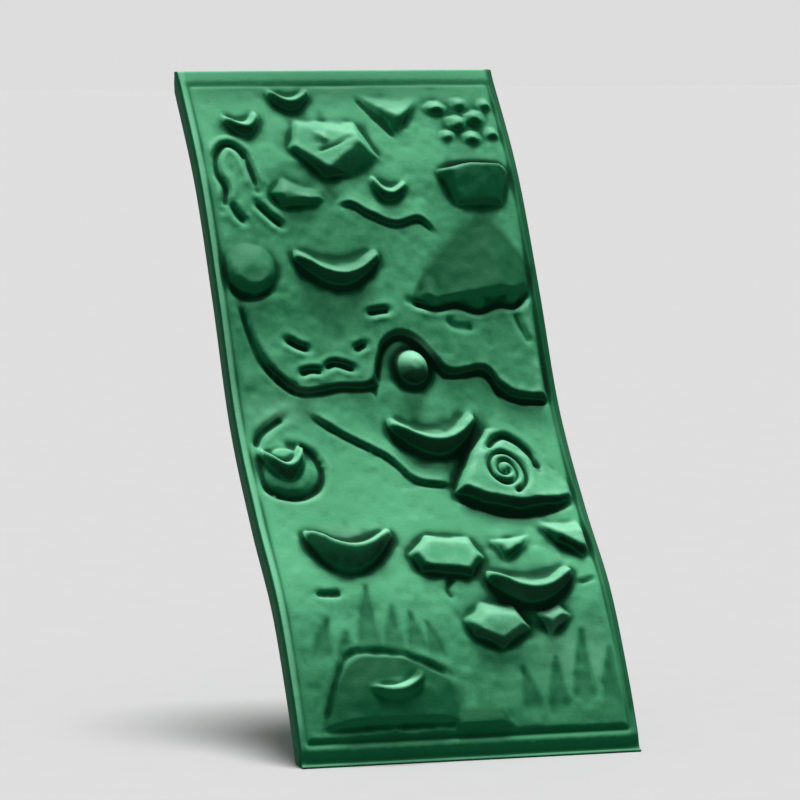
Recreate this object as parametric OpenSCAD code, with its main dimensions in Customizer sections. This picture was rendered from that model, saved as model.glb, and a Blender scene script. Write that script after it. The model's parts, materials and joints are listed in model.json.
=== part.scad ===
// Leaning climbing wall for a raised play deck.
// A hollow moulded panel with rock-shaped holds runs from the deck edge down to the ground.
// A bent steel bracket ties its head to the deck, and two steel legs carry it at mid length.
// +X runs across the wall, the climbing face looks towards -Y, and +Z is up.
// The origin is on the ground, in the middle of the whole assembly's plan box.

/* [Wall] */
// Height of the deck that the wall climbs to
deck_h = 1524; // [1480:4:1560]
// How far the toe stands out from the deck
wall_run = 1150; // [1120:10:1200]
// Width of the panel
panel_w = 800; // [780:10:860]
// Thickness of the hollow panel from face to back
panel_t = 58; // [54:1:64]
// Wall thickness of the moulding
skin_t = 6.5; // [5:0.5:8]

/* [Holds] */
// How far the large scooped holds stand out
hold_reach = 46; // [36:1:50]
// How far the flat rocks stand out
rock_reach = 22; // [12:1:28]

/* [Deck bracket] */
// Length of the bracket across the wall
bracket_w = 640; // [600:10:700]
// Height of the leg that lies on the deck
bracket_drop = 100; // [90:5:120]
// Length of the leg that lies under the panel
bracket_reach = 112; // [100:2:130]
// Distance between neighbouring deck bolts
deck_bolt_pitch = 180; // [160:10:190]

/* [Legs] */
// Distance between the two legs
leg_pitch = 250; // [230:5:270]
// Outer diameter of the leg tube
leg_od = 48.3; // [42.4, 48.3]
// Wall of the leg tube
leg_wall = 3.2; // [2.6:0.1:4]
// Distance along the face, from its top, of the legs' saddles
saddle_at = 860; // [820:10:900]
// Distance between anchor holes across the wall
anchor_x = 70; // [66:2:74]
// Distance between anchor holes front to back
anchor_y = 114; // [110:2:120]

/* [Hidden] */
$fn = 48;
plate_t = 6;             // bracket, saddle and gusset plate
base_t = 10;             // base plate
seat_in = 1.5;           // how deep the steel seats sink into the panel's back
bolt_r = 5;              // M10 screws
hole_r = 5.5;            // clearance hole for an M10 screw
anchor_r = 7;            // clearance hole for a 12 mm anchor
weld_gap = 0.02;         // welded plates meet with this much air, so that solids stay apart

design_h = 1524;
design_run = 1150;
design_w = 800;

// Stations down the middle of the climbing face: [distance out from the deck, height]
stations = [[30, 1524], [240, 1290], [410, 1015], [565, 735],
            [750, 525], [930, 355], [1060, 165], [1150, 0]];
steps = 5;               // facets between neighbouring stations

function scaled(p) = [p[0] * wall_run / design_run, p[1] * deck_h / design_h];
face_pts = [for (p = stations) scaled(p)];
last = len(face_pts) - 1;
function station(i) = i < 0 ? 2 * face_pts[0] - face_pts[1]
                    : i > last ? 2 * face_pts[last] - face_pts[last - 1]
                    : face_pts[i];
// A smooth curve through the stations (Catmull-Rom)
function blend(a, b, c, d, t) =
    0.5 * (2 * b + (c - a) * t + (2 * a - 5 * b + 4 * c - d) * t * t
           + (3 * b - a - 3 * c + d) * t * t * t);
face = concat(
    [for (i = [0:last - 1], k = [0:steps - 1])
        blend(station(i - 1), station(i), station(i + 1), station(i + 2), k / steps)],
    [face_pts[last]]);
face_n = len(face);
// Distance along the face to each of its points
arc = [for (i = 0, s = 0; i < face_n;
            s = s + (i + 1 < face_n ? norm(face[i + 1] - face[i]) : 0), i = i + 1) s];
face_len = arc[face_n - 1];
design_len = 1905;       // the same length at the design size

function unit(v) = v / norm(v);
function tangent(i) = unit(face[min(i + 1, face_n - 1)] - face[max(i - 1, 0)]);
// Outward normal: forward and up
function outward(t) = [-t[1], t[0]];
function segment(s, i = 0) = i >= face_n - 2 || arc[i + 1] > s ? i : segment(s, i + 1);
// Point and direction of the face at a distance s from its top
function face_at(s) = let (i = segment(s), f = (s - arc[i]) / (arc[i + 1] - arc[i]))
    face[i] + (face[i + 1] - face[i]) * f;
function dir_at(s) = let (i = segment(s), f = (s - arc[i]) / (arc[i + 1] - arc[i]))
    unit(tangent(i) + (tangent(i + 1) - tangent(i)) * f);
function slope_at(s) = atan2(-dir_at(s)[1], dir_at(s)[0]);

// The face shifted along its own normal, positive outwards
function shifted(h) = [for (i = [0:face_n - 1]) face[i] + h * outward(tangent(i))];
function flip(v) = [for (i = [len(v) - 1:-1:0]) v[i]];

// Stand a side-view outline, in [out, up], up as a solid of width w across the wall
module across(outline, w, x = 0) {
    translate([x, wall_run / 2, 0]) rotate([90, 0, -90])
        linear_extrude(w, center = true) polygon(outline);
}
// Place children on the face: x across, then distance down the face; local +Z is outwards
module on_face(x, s) {
    p = face_at(s);
    translate([x, wall_run / 2 - p[0], p[1]]) rotate([slope_at(s), 0, 0]) children();
}
// The same, with x and s given for the design size
module feature(x, s) {
    on_face(x * panel_w / design_w, s * face_len / design_len) children();
}

/* ---- places of the steel parts ---- */
bracket_s = 70;          // the bracket's seat is square to the face here
seat_z = seat_in - panel_t;
bracket_bolt_x = [for (k = [-1.5:1:1.5]) k * deck_bolt_pitch];
gusset_x = [-deck_bolt_pitch, 0, deck_bolt_pitch];

bt = dir_at(bracket_s);
bn = outward(bt);
// Seat line of the bracket, from the deck plane down along the panel's back
seat_foot = face_at(bracket_s) + seat_z * bn;
bend = seat_foot - bt * (seat_foot[0] / bt[0]);
deck_hole_edge = 30;     // from the bracket's lower edge up to its deck holes
deck_hole_z = bend[1] - bracket_drop + deck_hole_edge;
bracket_bolt_run = 78;   // along the seat, from the bend to the panel screws

saddle_w = 130;
saddle_l = 180;
saddle_bolt_x = 48;      // screws this far to both sides of the leg's centre line
saddle_bolt_s = 72;      // and this far up and down the slope
lt = dir_at(saddle_at);
ln = outward(lt);
saddle_mid = face_at(saddle_at) + seat_z * ln;
leg_out = (saddle_mid - plate_t * ln)[0];
leg_x = [-leg_pitch / 2, leg_pitch / 2];
base_w = 100;
base_d = 150;
brace_z = 330;
brace_r = 16.85;         // 33.7 mm tube

insert_r = 8;
insert_l = 18;
screw_l = 26;
washer_t = 2;
washer_r = 10.5;
head_r = 9;              // screw head where it meets the washer
head_top_r = 5.5;
head_h = 5.5;
socket_r = 3.4;
socket_deep = 3;

// Every screw into the panel: children are placed with local +Z pointing into the panel
// and local z = 0 on the seat
module bracket_screws() {
    for (x = bracket_bolt_x)
        translate([x, wall_run / 2 - bend[0] - bt[0] * bracket_bolt_run,
                   bend[1] + bt[1] * bracket_bolt_run])
            rotate([slope_at(bracket_s), 0, 0]) children();
}
module saddle_screws() {
    for (x = leg_x, dx = [-saddle_bolt_x, saddle_bolt_x], ds = [-saddle_bolt_s, saddle_bolt_s])
        on_face(x, saddle_at) translate([dx, ds, seat_z]) children();
}

/* ---- climbing panel ---- */
body_outline = concat(face, flip(shifted(-panel_t)), [[-40, shifted(-panel_t)[0][1]], [-40, deck_h]]);
core_outline = concat(shifted(-skin_t), flip(shifted(skin_t - panel_t)),
                      [[-40, shifted(skin_t - panel_t)[0][1]], [-40, deck_h]]);
rim_w = 22;
rim_h = 4;
kiss_x = [-290, 0, 290];
kiss_s = [for (k = [0:6]) 330 + 220 * k];
kiss_r = 30;
kiss_tip_r = 11;

// A rounded bulge with its top scooped out: a ledge for the hand with a bowl under it
module scoop_hold(w, reach) {
    half = w / 2;
    ball = (half * half + reach * reach) / (2 * reach);
    difference() {
        translate([0, 0, reach - ball]) sphere(ball);
        translate([0, half * 1.15, reach * 0.75]) sphere(half * 1.05);
        translate([0, 0, -2 * ball - skin_t + 1]) cube(4 * ball, center = true);
    }
}
// A flat-topped rock from a plan outline, drawn with +Y up the face
module rock(outline, reach, taper = 0.8) {
    translate([0, 0, -4]) linear_extrude(reach + 4, scale = taper) polygon(outline);
}

// Each shape is placed at [across, down the face] in millimetres at the design size
module holds() {
    feature(-95, 555) scoop_hold(200, hold_reach);
    feature(75, 1015) scoop_hold(205, hold_reach);
    feature(-195, 1355) scoop_hold(205, hold_reach);
    feature(205, 1460) scoop_hold(195, hold_reach);
    feature(-135, 95) scoop_hold(100, hold_reach * 0.6);
    feature(-275, 180) scoop_hold(90, hold_reach * 0.6);
    feature(65, 380) scoop_hold(85, hold_reach * 0.6);
    feature(50, 845) scoop_hold(90, hold_reach * 0.8);
    feature(-310, 570) scoop_hold(140, hold_reach * 0.7);
    // faceted rock under the deck edge
    feature(-50, 250)
        rock([[-85, 80], [-20, 90], [60, 70], [95, -60], [-60, -80], [-110, -10]], rock_reach * 1.6, 0.55);
    // hanging wedge
    feature(112, 135) rock([[-60, 50], [65, 45], [0, -60]], rock_reach, 0.6);
    // long hold at the right
    feature(282, 355) rock([[-90, 30], [-50, 50], [60, 50], [88, 30], [60, -50], [-60, -50]],
                           rock_reach * 1.5, 0.7);
    // flat hold at the left
    feature(-170, 385) rock([[-60, 15], [-25, 50], [65, -5], [30, -30], [-35, -35]], rock_reach, 0.6);
    // mountain with a ledge for a foot
    feature(235, 590) rock([[45, 115], [110, 30], [135, -50], [20, -85], [-95, -75], [-155, -65],
                            [-60, 20]], rock_reach * 1.4, 0.75);
    // rock shelf with a coiled fossil
    feature(235, 1140) rock([[0, 105], [60, 50], [145, -60], [85, -95], [0, -115], [-80, -85],
                             [-135, -45], [-90, 40]], rock_reach, 0.85);
    // flat stones above the toe
    feature(25, 1375) rock([[-60, 60], [50, 50], [85, -15], [40, -60], [-65, -45], [-85, -5]],
                           rock_reach, 0.8);
    feature(108, 1570) rock([[-75, 5], [-30, 50], [35, 60], [70, -20], [2, -62], [-55, -35]],
                            rock_reach, 0.75);
    feature(-160, 1735) rock([[-30, 90], [95, 40], [140, -45], [-150, -45], [-95, 25]],
                             rock_reach * 0.8, 0.6);
}

// Steel seats let into the back: everything below the seat plane is cut away
seat_gap = 3;            // free edge round each plate
module bracket_seat() {
    cut = 40;
    high = bend - 20 * bt;
    low = bend + (bracket_reach + seat_gap) * bt;
    across([high, low, low - cut * bn, high - cut * bn], bracket_w + 2 * seat_gap);
}
module saddle_seats() {
    cut = 30;
    for (x = leg_x)
        on_face(x, saddle_at) translate([0, 0, seat_z - cut / 2])
            cube([saddle_w + 2 * seat_gap, saddle_l + 2 * seat_gap, cut], center = true);
}
module kiss_offs(grow, deep) {
    for (x = kiss_x, s = kiss_s)
        on_face(x * panel_w / design_w, s * face_len / design_len) translate([0, 0, -panel_t - 3])
            cylinder(r1 = kiss_r + grow, r2 = kiss_tip_r + grow, h = deep + 3);
}

vent_x = 150;
vent_s = 1200;
vent_r = 12;
vent_lip = 5;            // the plug's disc covers the back this far round the hole
vent_lip_t = 3.5;
vent_stem = 8;
drain_x = [-300, 300];
drain_s = 1800;
drain_r = 5;

module vent_axis() {
    on_face(vent_x, vent_s) translate([0, 0, -panel_t]) children();
}

module climbing_panel() {
    color("#2f8f60") difference() {
        union() {
            intersection() {
                across(body_outline, panel_w);
                translate([0, 0, deck_h / 2]) cube([2 * panel_w, wall_run, deck_h], center = true);
            }
            for (side = [-1, 1])
                across(concat(shifted(rim_h), flip(shifted(-2))), rim_w, side * (panel_w - rim_w) / 2);
            holds();
        }
        // hollow inside, with pillars for the inserts and cones that tie back to face
        difference() {
            intersection() {
                across(core_outline, panel_w - 2 * skin_t);
                translate([0, 0, deck_h / 2])
                    cube([2 * panel_w, wall_run - 2 * skin_t, deck_h - 2 * skin_t], center = true);
            }
            bracket_screws() cylinder(r = insert_r + skin_t, h = insert_l + skin_t);
            saddle_screws() cylinder(r = insert_r + skin_t, h = insert_l + skin_t);
            kiss_offs(skin_t, panel_t);
        }
        kiss_offs(0, panel_t - 2 * skin_t);
        bracket_seat();
        saddle_seats();
        bracket_screws() translate([0, 0, -1]) cylinder(r = insert_r, h = insert_l + 1);
        saddle_screws() translate([0, 0, -1]) cylinder(r = insert_r, h = insert_l + 1);
        vent_axis() translate([0, 0, -5]) cylinder(r = vent_r, h = 5 + 2 * skin_t);
        for (x = drain_x)
            on_face(x, drain_s) translate([0, 0, -panel_t - 5]) cylinder(r = drain_r, h = 5 + 2 * skin_t);
        // trim everything to the ground, the deck plane and the deck height
        translate([0, 0, -100]) cube([2 * panel_w, 3 * wall_run, 200], center = true);
        translate([0, 0, deck_h + 100]) cube([2 * panel_w, 3 * wall_run, 200], center = true);
        translate([0, wall_run / 2 + 100, deck_h / 2]) cube([2 * panel_w, 200, 2 * deck_h], center = true);
        translate([0, -wall_run / 2 - 100, deck_h / 2]) cube([2 * panel_w, 200, 2 * deck_h], center = true);
    }
}

module vent_plug() {
    color("#257a50") vent_axis() {
        translate([0, 0, -vent_lip_t]) cylinder(r = vent_r + vent_lip, h = vent_lip_t);
        translate([0, 0, -1]) cylinder(r = vent_r - 0.05, h = vent_stem + 1);
    }
}

/* ---- screws, washers and inserts ---- */
module insert() {
    difference() {
        cylinder(r = insert_r, h = insert_l);
        translate([0, 0, -1]) cylinder(r = bolt_r, h = insert_l + 2);
    }
}
module screw() {
    head = -plate_t - washer_t;
    translate([0, 0, head]) cylinder(r = bolt_r, h = screw_l);
    translate([0, 0, head]) mirror([0, 0, 1]) difference() {
        cylinder(r1 = head_r, r2 = head_top_r, h = head_h);
        translate([0, 0, head_h - socket_deep]) cylinder(r = socket_r, h = socket_deep + 1, $fn = 6);
    }
}
module washer() {
    translate([0, 0, -plate_t - washer_t]) difference() {
        cylinder(r = washer_r, h = washer_t);
        translate([0, 0, -1]) cylinder(r = bolt_r + 0.25, h = washer_t + 2);
    }
}

module bracket_inserts() { color("goldenrod") bracket_screws() insert(); }
module bracket_bolts() { color("silver") bracket_screws() screw(); }
module bracket_washers() { color("silver") bracket_screws() washer(); }
module saddle_inserts() { color("goldenrod") saddle_screws() insert(); }
module saddle_bolts() { color("silver") saddle_screws() screw(); }
module saddle_washers() { color("silver") saddle_screws() washer(); }

/* ---- deck bracket ---- */
bracket_end = bend + bracket_reach * bt;
under = bend - plate_t * bn;                                   // underside of the inclined leg
elbow = under + bt * ((plate_t - under[0]) / bt[0]);           // inside of the bend
bracket_outline = [bend, bracket_end, bracket_end - plate_t * bn, elbow,
                   [plate_t, bend[1] - bracket_drop], [0, bend[1] - bracket_drop]];

module deck_bracket() {
    color("#3b241b") difference() {
        across(bracket_outline, bracket_w);
        for (x = bracket_bolt_x)
            translate([x, wall_run / 2 + 1, deck_hole_z]) rotate([90, 0, 0])
                cylinder(r = hole_r, h = plate_t + 2);
        bracket_screws() translate([0, 0, -plate_t - 1]) cylinder(r = hole_r, h = plate_t + 2);
    }
}
// Triangular stiffener in the wedge of the bracket, with its root left clear of the bend
module bracket_gusset(x) {
    g = weld_gap;
    run = 84;
    root = 26;
    drop = 0.9 * run;
    color("#3b241b") across([elbow + root * bt + [g, 0] - g * bn,
                             elbow + run * bt + [g, 0] - g * bn,
                             [plate_t + g, elbow[1] - drop],
                             [plate_t + g, elbow[1] - root]], plate_t, x);
}
module bracket_gusset_left() { bracket_gusset(gusset_x[0]); }
module bracket_gusset_middle() { bracket_gusset(gusset_x[1]); }
module bracket_gusset_right() { bracket_gusset(gusset_x[2]); }

/* ---- legs ---- */
module leg_tube(x) {
    color("#3b241b") difference() {
        translate([x, wall_run / 2 - leg_out, base_t + weld_gap]) cylinder(d = leg_od, h = deck_h);
        translate([x, wall_run / 2 - leg_out, base_t - 1])
            cylinder(d = leg_od - 2 * leg_wall, h = deck_h + 2);
        on_face(x, saddle_at)
            translate([0, 0, seat_z - plate_t - weld_gap + 2 * deck_h])
                cube(4 * deck_h, center = true);
    }
}
module leg_saddle(x) {
    color("#3b241b") difference() {
        on_face(x, saddle_at) translate([0, 0, seat_z - plate_t / 2])
            cube([saddle_w, saddle_l, plate_t], center = true);
        saddle_screws() translate([0, 0, -plate_t - 1]) cylinder(r = hole_r, h = plate_t + 2);
    }
}
module leg_base(x) {
    color("#3b241b") translate([x, wall_run / 2 - leg_out, 0]) difference() {
        translate([0, 0, base_t / 2]) cube([base_w, base_d, base_t], center = true);
        for (dx = [-anchor_x, anchor_x] / 2, dy = [-anchor_y, anchor_y] / 2)
            translate([dx, dy, -1]) cylinder(r = anchor_r, h = base_t + 2);
    }
}
// Two triangular stiffeners, in front of the tube and behind it
module leg_gussets(x) {
    inner = leg_od / 2 + 0.3;
    reach = 66;
    toe = 12;
    height = 70;
    foot = base_t + weld_gap;
    for (side = [-1, 1])
        color("#3b241b") across([[leg_out + side * inner, foot], [leg_out + side * reach, foot],
                                 [leg_out + side * reach, foot + toe],
                                 [leg_out + side * inner, foot + height]], plate_t, x);
}
module leg_tube_left() { leg_tube(leg_x[0]); }
module leg_tube_right() { leg_tube(leg_x[1]); }
module leg_saddle_left() { leg_saddle(leg_x[0]); }
module leg_saddle_right() { leg_saddle(leg_x[1]); }
module leg_base_left() { leg_base(leg_x[0]); }
module leg_base_right() { leg_base(leg_x[1]); }
module leg_gussets_left() { leg_gussets(leg_x[0]); }
module leg_gussets_right() { leg_gussets(leg_x[1]); }
// Cross tube between the legs, its ends cut to fit round them
module leg_brace() {
    color("#3b241b") difference() {
        translate([0, wall_run / 2 - leg_out, brace_z]) rotate([0, 90, 0])
            cylinder(r = brace_r, h = leg_pitch, center = true);
        translate([0, wall_run / 2 - leg_out, brace_z]) rotate([0, 90, 0])
            cylinder(r = brace_r - leg_wall, h = leg_pitch + 2, center = true);
        for (x = leg_x)
            translate([x, wall_run / 2 - leg_out, 0]) cylinder(r = leg_od / 2 + 0.1, h = deck_h);
    }
}

climbing_panel();
vent_plug();
deck_bracket();
bracket_gusset_left();
bracket_gusset_middle();
bracket_gusset_right();
bracket_bolts();
bracket_washers();
bracket_inserts();
leg_tube_left();
leg_tube_right();
leg_saddle_left();
leg_saddle_right();
leg_base_left();
leg_base_right();
leg_gussets_left();
leg_gussets_right();
leg_brace();
saddle_bolts();
saddle_washers();
saddle_inserts();
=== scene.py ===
"""Looks of the leaning climbing wall: its moulded panel, steelwork and fixings, a studio and a camera."""
import json
import math

import bmesh
import bpy
import numpy as np
from mathutils import Matrix, Vector
from mathutils.geometry import delaunay_2d_cdt

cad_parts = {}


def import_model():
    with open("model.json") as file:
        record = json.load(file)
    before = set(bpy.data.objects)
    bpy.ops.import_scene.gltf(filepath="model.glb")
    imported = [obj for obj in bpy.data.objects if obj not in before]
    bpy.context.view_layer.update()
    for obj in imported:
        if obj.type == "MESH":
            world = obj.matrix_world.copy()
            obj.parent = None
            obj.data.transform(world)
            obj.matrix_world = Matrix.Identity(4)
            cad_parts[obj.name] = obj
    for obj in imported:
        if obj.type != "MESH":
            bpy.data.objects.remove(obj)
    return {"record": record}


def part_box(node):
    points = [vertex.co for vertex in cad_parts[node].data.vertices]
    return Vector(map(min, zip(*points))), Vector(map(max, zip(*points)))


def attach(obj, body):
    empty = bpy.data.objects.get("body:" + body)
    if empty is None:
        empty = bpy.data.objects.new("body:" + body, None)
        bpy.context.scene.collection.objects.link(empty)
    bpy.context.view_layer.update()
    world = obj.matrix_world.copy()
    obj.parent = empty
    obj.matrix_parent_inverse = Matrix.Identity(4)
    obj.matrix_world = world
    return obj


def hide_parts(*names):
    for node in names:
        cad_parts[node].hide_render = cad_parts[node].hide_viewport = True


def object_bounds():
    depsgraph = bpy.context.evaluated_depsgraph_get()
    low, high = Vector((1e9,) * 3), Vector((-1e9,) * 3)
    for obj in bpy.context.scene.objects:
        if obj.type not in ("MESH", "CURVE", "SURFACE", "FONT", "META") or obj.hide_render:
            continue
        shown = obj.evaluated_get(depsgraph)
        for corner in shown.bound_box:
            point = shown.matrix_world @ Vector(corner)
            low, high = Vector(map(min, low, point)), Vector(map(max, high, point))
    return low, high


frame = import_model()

CAD_LOW, CAD_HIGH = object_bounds()
MM = 0.001

# ---------------------------------------------------------------- the panel's sizes, in mm

PANEL_W, RUN, DECK_H = (round(side / MM, 2) for side in CAD_HIGH - CAD_LOW)
HALF_W = PANEL_W / 2
PANEL_T = 58.0
# Stations down the middle of the face: [out from the deck, height]
STATIONS = [[30, 1524], [240, 1290], [410, 1015], [565, 735],
            [750, 525], [930, 355], [1060, 165], [1150, 0]]
LIP = 30.0                # flat top between the deck plane and the face
CORNER_SOFT = 4.0         # how far corners of the side profile are softened
EDGE_R = 7.0              # rounding along the panel's long edges
CELL = 4.6                # spacing of the sculpted grid


def world(x, out, up):
    """From the wall's own millimetres to the frame's metres."""
    return np.stack(np.broadcast_arrays(x, RUN / 2 - np.asarray(out), up), axis=-1) * MM


def arc_lengths(points):
    return np.concatenate([[0.0], np.cumsum(np.linalg.norm(np.diff(points, axis=0), axis=1))])


def unit(vectors):
    return vectors / np.maximum(np.linalg.norm(vectors, axis=-1, keepdims=True), 1e-9)


def outward(outline):
    """Normals of a line of points, on the left of the way it runs."""
    t = unit(np.gradient(outline, axis=0))
    return np.stack([-t[:, 1], t[:, 0]], axis=1)


def sample(at, grid, table):
    """The rows of a table that belong at some values of its grid."""
    return np.stack([np.interp(at, grid, column) for column in np.transpose(table)], axis=-1)


def gaussian(row, width, reach):
    """A blurred row, shorter by reach at both ends."""
    weight = np.exp(-0.5 * (np.arange(-reach, reach + 1) / width) ** 2)
    return np.convolve(row, weight / weight.sum(), "valid")


def catmull_rom(points, steps):
    p = np.asarray(points, float)
    p = np.vstack([2 * p[0] - p[1], p, 2 * p[-1] - p[-2]])
    t = (np.arange(steps) / steps)[:, None]
    spans = [0.5 * (2 * b + (c - a) * t + (2 * a - 5 * b + 4 * c - d) * t ** 2
                    + (3 * b - a - 3 * c + d) * t ** 3)
             for a, b, c, d in zip(p, p[1:], p[2:], p[3:])]
    return np.vstack(spans + [p[-2:-1]])


class Profile:
    """The panel's side outline: the face, and the back that lies PANEL_T behind it."""

    def __init__(self):
        curve = catmull_rom(STATIONS, 60)
        arc = arc_lengths(curve)
        self.length = arc[-1]
        self.s = np.arange(-LIP, self.length + 0.5, 1.0)
        self.s[-1] = self.length
        self.face = sample(self.s, arc, curve)
        lip = self.s < 0
        self.face[lip, 0], self.face[lip, 1] = LIP + self.s[lip], DECK_H
        self.rear = self._rear(outward(self.face))
        self._soften()

    def _rear(self, normals):
        """Where the inward normal meets the back, or the deck plane or the ground before it."""
        start, lean = self.at(self.face, 0.0), self.at(normals, 2.0)
        low = start - lean * (start[0] / lean[0])
        rear = []
        for s, p, n in zip(self.s, self.face, normals):
            n = lean if s < 2 else n
            depth = min(PANEL_T, p[0] / max(n[0], 1e-6), p[1] / max(n[1], 1e-6))
            rear.append([0.0, DECK_H + (low[1] - DECK_H) * (s + LIP) / LIP] if s < 0 else p - depth * n)
        return np.array(rear)

    def _soften(self):
        """Round the outline's corners by smoothing the closed loop of face and back."""
        loop = np.vstack([self.face, self.rear[::-1][1:-1], self.face[:1]])
        arc = arc_lengths(loop)
        grid = np.arange(0, arc[-1], 1.0)
        even = sample(grid, arc, loop)
        reach = int(4 * CORNER_SOFT)
        wrapped = np.vstack([even[-reach:], even, even[:reach]])
        soft = np.apply_along_axis(gaussian, 0, wrapped, CORNER_SOFT, reach)
        smooth = sample(arc, np.append(grid, arc[-1]), np.vstack([soft, soft[:1]]))
        n = len(self.s)
        self.face = smooth[:n]
        self.rear = np.vstack([smooth[:1], smooth[n:-1][::-1], smooth[n - 1:n]])
        self.face_normal, self.rear_normal = outward(self.face), -outward(self.rear)

    def at(self, table, s):
        return sample(s, self.s, table)


profile = Profile()

# ---------------------------------------------------------------- sculpting tools: forms are heights in mm

GROOVE_GAIN = 1.15        # how much deeper every moulded line is cut than its nominal depth
OUTSIDE = -60.0           # height of a form outside its outline, too low to change anything there


def smooth_max(a, b, soft):
    t = np.clip(0.5 + 0.5 * (a - b) / soft, 0, 1)
    return b * (1 - t) + a * t + soft * t * (1 - t)


def smooth_min(a, b, soft):
    return -smooth_max(-a, -b, soft)


def ease(t):
    t = np.clip(t, 0, 1)
    return t * t * (3 - 2 * t)


def within(values, low, high, soft):
    """1 between two limits and 0 outside them, with a soft change inside each."""
    return ease((values - low) / soft) * ease((high - values) / soft)


def bell(distance, width):
    return np.exp(-(distance / width) ** 2)


def soft_noise(x, s, cell, seed):
    """Smooth noise between -1 and 1 with bumps about one cell across."""
    table = np.random.default_rng(seed).uniform(-1, 1, (96, 96))
    gx, gs = (x + 2000) / cell, (s + 2000) / cell
    ix, js = np.floor(gx).astype(int), np.floor(gs).astype(int)
    fx, fs = ease(gx - ix), ease(gs - js)
    row = lambda j: table[j % 96, ix % 96] * (1 - fx) + table[j % 96, (ix + 1) % 96] * fx
    return row(js) * (1 - fs) + row(js + 1) * fs


class Relief:
    """Heights over the face, on a grid of x across the panel and s down it, and the painted shade over it,
    which below 0 is painted highlight.
    """

    def __init__(self, x, s):
        self.x, self.s = np.meshgrid(x, s)
        self.h, self.tone = np.zeros_like(self.x), np.zeros_like(self.x)

    def raise_to(self, form, soft=4.0):
        self.h = smooth_max(self.h, form, soft)

    def line_distance(self, points):
        """Distance to a polyline, and how far along it the nearest point is, from 0 to 1."""
        points = np.asarray(points, float)
        arc = arc_lengths(points)
        best, along = np.full(self.x.shape, 1e9), np.zeros(self.x.shape)
        for a, b, start, end in zip(points, points[1:], arc, arc[1:]):
            d = b - a
            t = np.clip(((self.x - a[0]) * d[0] + (self.s - a[1]) * d[1]) / (d @ d), 0, 1)
            dist = np.hypot(self.x - a[0] - t * d[0], self.s - a[1] - t * d[1])
            nearer = dist < best
            best = np.where(nearer, dist, best)
            along = np.where(nearer, (start + t * (end - start)) / arc[-1], along)
        return best, along

    def groove(self, points, width, depth, lips=0.12, smooth=True):
        """A moulded line with soft lips, fading at both ends."""
        dist, along = self.line_distance(catmull_rom(points, 6) if smooth else points)
        fade = within(along, 0, 1, 0.08) if smooth else 1.0
        cut = bell(dist, width) - lips * bell(dist - 2 * width, width)
        self.h -= GROOVE_GAIN * depth * cut * np.clip(fade, 0.35, 1)

    def step_line(self, points, height, decay, edge=9.0):
        """A ledge whose upper side stands proud of a line that runs left to right, and dies away above it.

        height is a list of (x, height) from left to right.
        """
        pts = catmull_rom(points, 6)
        line = np.interp(self.x[0], pts[:, 0], pts[:, 1])[None, :]
        height = np.interp(self.x[0], *zip(*height))[None, :] * within(self.x, pts[0, 0], pts[-1, 0], 40)
        above = line - self.s
        square = above / np.sqrt(1 + np.gradient(line[0], self.x[0]) ** 2)
        body = np.exp(-np.clip(above, 0, None) / decay) * ease((square + edge) / edge)
        self.h += height * (body - 0.45 * bell(square + edge + 3, edge * 0.8))

    def stone(self, corners, cap, cuts=(), soft=3.0, rough=0.0, seed=0, tone=0.0):
        """A faceted convex rock: each corner is (x, s, steepness of the side that starts there), clockwise.

        Each cut is a plane across its top: (x, s, height there, slope across, slope down).
        """
        form = np.full(self.x.shape, float(cap))
        for (x0, s0, steep), (x1, s1, _) in zip(corners, corners[1:] + corners[:1]):
            inside = ((x1 - x0) * (self.s - s0) - (s1 - s0) * (self.x - x0)) / math.hypot(x1 - x0, s1 - s0)
            form = smooth_min(form, steep * inside, soft)
        for x0, s0, height, across, down in cuts:
            form = smooth_min(form, height + across * (self.x - x0) + down * (self.s - s0), soft)
        if rough:
            form += rough * soft_noise(self.x, self.s, 28, seed) * (form > 2)
        # painted shade over the rock and a little beyond its outline
        if tone:
            self.tone = np.maximum(self.tone, tone * ease((form + 4) / 8))
        self.raise_to(form)

    def painted_light_patch(self, x0, s0, rx, rs, amount):
        """A soft-edged patch of painted shade where amount is above 0, or of painted highlight below it."""
        self.tone += amount * bell(np.hypot((self.x - x0) / rx, (self.s - s0) / rs), 0.8)

    def dome(self, x0, s0, rx, rs, reach):
        r2 = ((self.x - x0) / rx) ** 2 + ((self.s - s0) / rs) ** 2
        self.raise_to(np.where(r2 < 1, reach * np.sqrt(np.clip(1 - r2, 0, 1)), OUTSIDE * (r2 - 1)))

    def scoop(self, x0, s0, half, sag, lift, drop, reach, turn=0.0, pocket=1.5, lean=0.0, tone=0.0):
        """A hand hold: a smiling rim with a scooped top above it and a bowl under it.

        half is half its width, sag how far the rim hangs, lift and drop the run above and below the rim.
        """
        a = math.radians(turn)
        u = (self.x - x0) * math.cos(a) + (self.s - s0) * math.sin(a)
        v = -(self.x - x0) * math.sin(a) + (self.s - s0) * math.cos(a)
        across = 1 - (u / half) ** 2
        width = np.clip(across, 0, 1) ** 0.36
        hang = v - sag * across
        climb = lift * np.maximum(width, 0.2)
        above = np.clip((hang + climb) / climb, -2, 1.4)
        below = np.clip(hang / ((drop + lean * u) * width + 1), -1, 1.2)
        top = reach * np.sign(above) * np.abs(above) ** 1.35
        under = reach * (1 - np.sign(below) * np.abs(below) ** 1.25)
        side = np.minimum(1, 1.25 * width) * ease(across / 0.12)
        form = np.where((across <= 0) | (below >= 1), OUTSIDE, smooth_min(top, under, 7) * side)
        self.h -= pocket * bell(hang + lift * 0.85, lift * 0.5) * np.clip(across, 0, 1) ** 0.6
        # painted shade over the top of the hold, above its rim
        if tone:
            shown = ease(above / 0.3) * ease((4 - hang) / 12) * ease(across / 0.2)
            self.tone = np.maximum(self.tone, tone * shown)
        self.raise_to(form, 3.0)


# ---------------------------------------------------------------- the climbing face


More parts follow.
